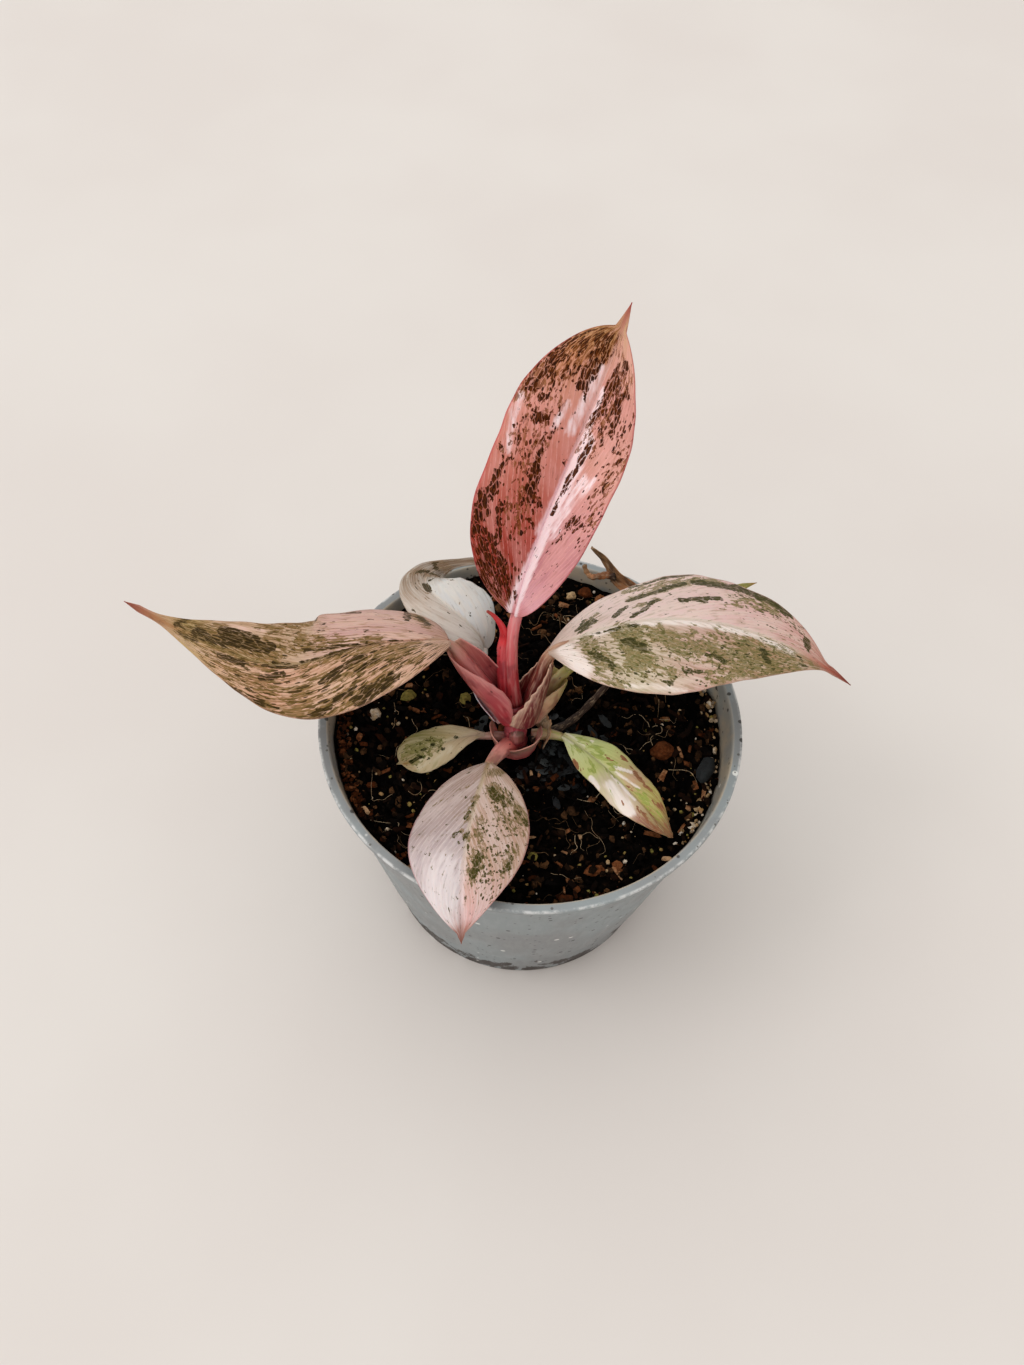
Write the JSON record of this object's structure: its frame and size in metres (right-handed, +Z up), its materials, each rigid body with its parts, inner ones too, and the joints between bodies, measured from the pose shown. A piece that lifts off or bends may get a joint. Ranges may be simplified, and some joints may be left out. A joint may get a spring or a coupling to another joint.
{
  "type": "potted variegated philodendron",
  "caption": "Small variegated aroid house plant with pink, cream and olive leaves, growing in soil in a grey tapered plastic nursery pot.",
  "frame": {"origin": "centre of the pot's flat underside, which stands on the surface", "axes": "+Z up, +X to the right leaf, +Y to the back, the front leaf points towards -Y"},
  "size_m": [0.176, 0.1138, 0.1724],
  "materials": {
    "pot_plastic": "moulded grey plastic, scuffed pale along the lip, dirt at the foot",
    "potting_soil": "dark coir and bark mix with tan chips, grains and pale roots",
    "stem_flesh": "smooth pink-red plant stem",
    "leaf_pink": "glossy rose pink leaf with dark olive-brown speckles and a pale midrib",
    "leaf_new_red": "smooth bright red rolled leaf",
    "leaf_pink_olive": "satin dusty pink leaf streaked with olive along the veins",
    "leaf_cream_olive": "satin cream-pink leaf mottled with olive green",
    "leaf_white": "limp cream-white leaf, brown at its curled end",
    "leaf_yellow_green": "satin yellow-green leaf with an olive tip",
    "leaf_pale_pink": "satin whitish pink leaf with green speckles on one half",
    "leaf_cream_green": "satin cream leaf flushed olive with dark green spots",
    "leaf_lime": "satin yellow-green leaf with white patches and a brown tip",
    "leaf_dry": "dry brown crumpled leaf",
    "sheath_dry": "papery tan sheath"
  },
  "bodies": {
    "root": {"pot": "pot_plastic", "soil": "potting_soil", "stem": "stem_flesh", "leaf_center": "leaf_pink", "new_leaf_spear": "leaf_new_red", "leaf_left": "leaf_pink_olive", "leaf_right": "leaf_cream_olive", "leaf_back_left": "leaf_white", "leaf_back_right": "leaf_yellow_green", "leaf_front": "leaf_pale_pink", "leaf_small_left": "leaf_cream_green", "leaf_small_right": "leaf_lime", "withered_leaf": "leaf_dry", "dry_sheath": "sheath_dry"}
  },
  "joints": []
}
